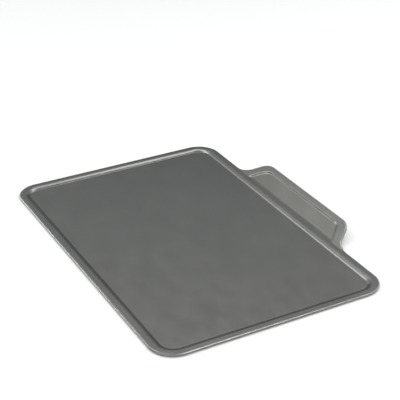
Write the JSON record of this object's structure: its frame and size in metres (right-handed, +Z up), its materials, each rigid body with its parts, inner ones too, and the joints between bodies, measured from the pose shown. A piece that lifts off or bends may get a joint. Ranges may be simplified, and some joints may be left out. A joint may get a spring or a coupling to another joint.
{
  "type": "cookie sheet",
  "caption": "Shallow rectangular baking sheet with a flat rim, a rolled wire edge and a wide tilted tab handle, coated for release, for baking cookies in an oven.",
  "frame": {"origin": "centre of the tray's flat underside, on the plane that the sheet stands on", "axes": "+X along the long side, +Y towards the tab handle, +Z up"},
  "size_m": [0.4318, 0.3219, 0.0175],
  "materials": {
    "steel_sheet": "pressed carbon steel, covered by the coating except at its cut edge under the roll",
    "steel_wire": "plain drawn wire",
    "coating_upper": "satin dark warm grey release coating",
    "coating_under": "satin dark grey release coating"
  },
  "bodies": {
    "root": {"pressed_sheet": "steel_sheet", "rim_wire": "steel_wire", "cooking_side_coating": "coating_upper", "underside_coating": "coating_under"}
  },
  "joints": []
}
